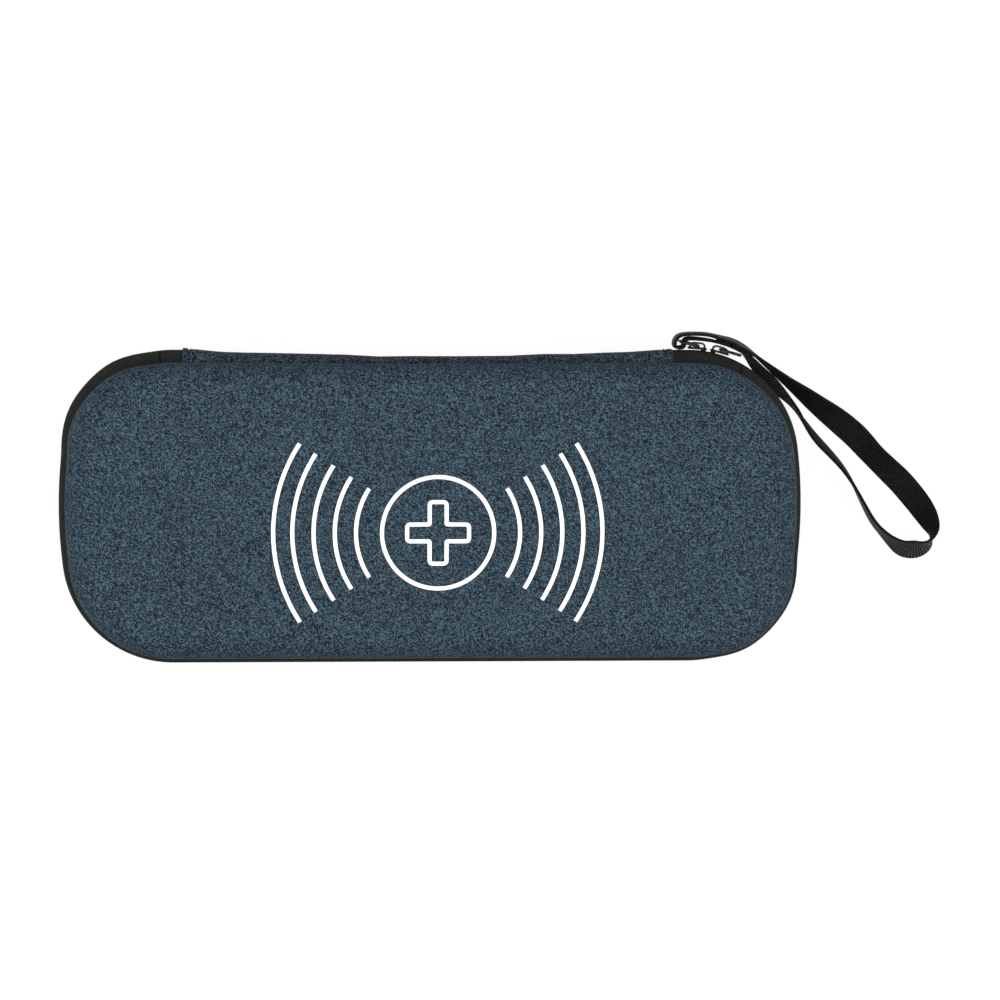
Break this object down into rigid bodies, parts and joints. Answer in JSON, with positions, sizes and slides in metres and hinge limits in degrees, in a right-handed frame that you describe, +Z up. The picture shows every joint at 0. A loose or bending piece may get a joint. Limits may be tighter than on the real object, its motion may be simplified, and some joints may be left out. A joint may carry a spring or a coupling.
{
  "type": "zipped hard case",
  "caption": "Long slim moulded case with a fabric cover, fabric hinge, zip with paired sliders, wrist strap on one puller, net pocket in the lid and elastic keeper in the base.",
  "frame": {"origin": "middle of the underside, on the surface the case lies on", "axes": "+X along the case towards the end with the strap, +Y towards the fabric hinge, +Z up through the lid"},
  "size_m": [0.343, 0.1269, 0.056],
  "materials": {
    "cover_fabric": "woven, matt, heathered grey-blue",
    "print_rubber": "satin, raised",
    "shell_foam": "moulded foam, matt",
    "lining_fabric": "brushed, matt",
    "binding_fabric": "woven, matt",
    "net_fabric": "open mesh, matt",
    "elastic": "ribbed elastic, matt",
    "zip_tape": "woven, matt",
    "zip_coil": "satin",
    "hinge_fabric": "woven, matt",
    "slider_metal": "gloss black",
    "puller_metal": "gloss black",
    "strap_webbing": "ribbed webbing, matt"
  },
  "bodies": {
    "base": {"base_cover": "cover_fabric", "base_shell": "shell_foam", "base_lining": "lining_fabric", "base_binding": "binding_fabric", "keeper_band": "elastic", "keeper_patch_front": "binding_fabric", "keeper_patch_back": "binding_fabric", "zip_tape_base": "zip_tape", "zip_coil_base": "zip_coil", "zip_tape_lid_right_end": "zip_tape", "zip_tape_lid_left_end": "zip_tape", "zip_coil_lid_right_end": "zip_coil", "zip_coil_lid_left_end": "zip_coil", "zip_stop_right": "zip_coil", "zip_stop_left": "zip_coil", "hinge_gusset": "hinge_fabric", "hinge_lining": "lining_fabric"},
    "lid": {"lid_cover": "cover_fabric", "lid_shell": "shell_foam", "lid_lining": "lining_fabric", "lid_binding": "binding_fabric", "lid_print": "print_rubber", "pocket_net": "net_fabric", "pocket_binding": "binding_fabric", "pocket_hem": "elastic", "zip_tape_lid": "zip_tape", "zip_coil_lid": "zip_coil"},
    "slider_a": {"slider_a_body": "slider_metal", "slider_a_bridge": "slider_metal", "wrist_strap": "strap_webbing", "strap_join": "strap_webbing"},
    "puller_a": {"puller_a": "puller_metal"},
    "slider_b": {"slider_b_body": "slider_metal", "slider_b_bridge": "slider_metal"},
    "puller_b": {"puller_b": "puller_metal"}
  },
  "joints": [
    {"name": "lid_open", "type": "hinge", "parent": "base", "child": "lid", "pos_m": [0, 0.062, 0.028], "axis": [-1, 0, 0], "range_deg": [0, 180], "deforming": ["hinge_gusset", "hinge_lining", "zip_tape_lid_right_end", "zip_tape_lid_left_end", "zip_coil_lid_right_end", "zip_coil_lid_left_end"]},
    {"name": "slider_a_slide", "type": "slide", "parent": "base", "child": "slider_a", "axis": [1, 0, 0], "range_m": [-0.0015, 0]},
    {"name": "slider_b_travel", "type": "hinge", "parent": "base", "child": "slider_b", "pos_m": [0.09899, 0.0176, 0.028], "axis": [0, 0, 1], "range_deg": [-60, 0]},
    {"name": "puller_a_swing", "type": "hinge", "parent": "slider_a", "child": "puller_a", "pos_m": [0.10231, 0.06175, 0.028], "axis": [0, 0, 1], "range_deg": [-80, 0], "deforming": ["wrist_strap", "strap_join"]},
    {"name": "puller_b_swing", "type": "hinge", "parent": "slider_b", "child": "puller_b", "pos_m": [0.11112, 0.06019, 0.028], "axis": [0, 0, 1], "range_deg": [0, 120], "deforming": ["wrist_strap", "strap_join"]}
  ]
}
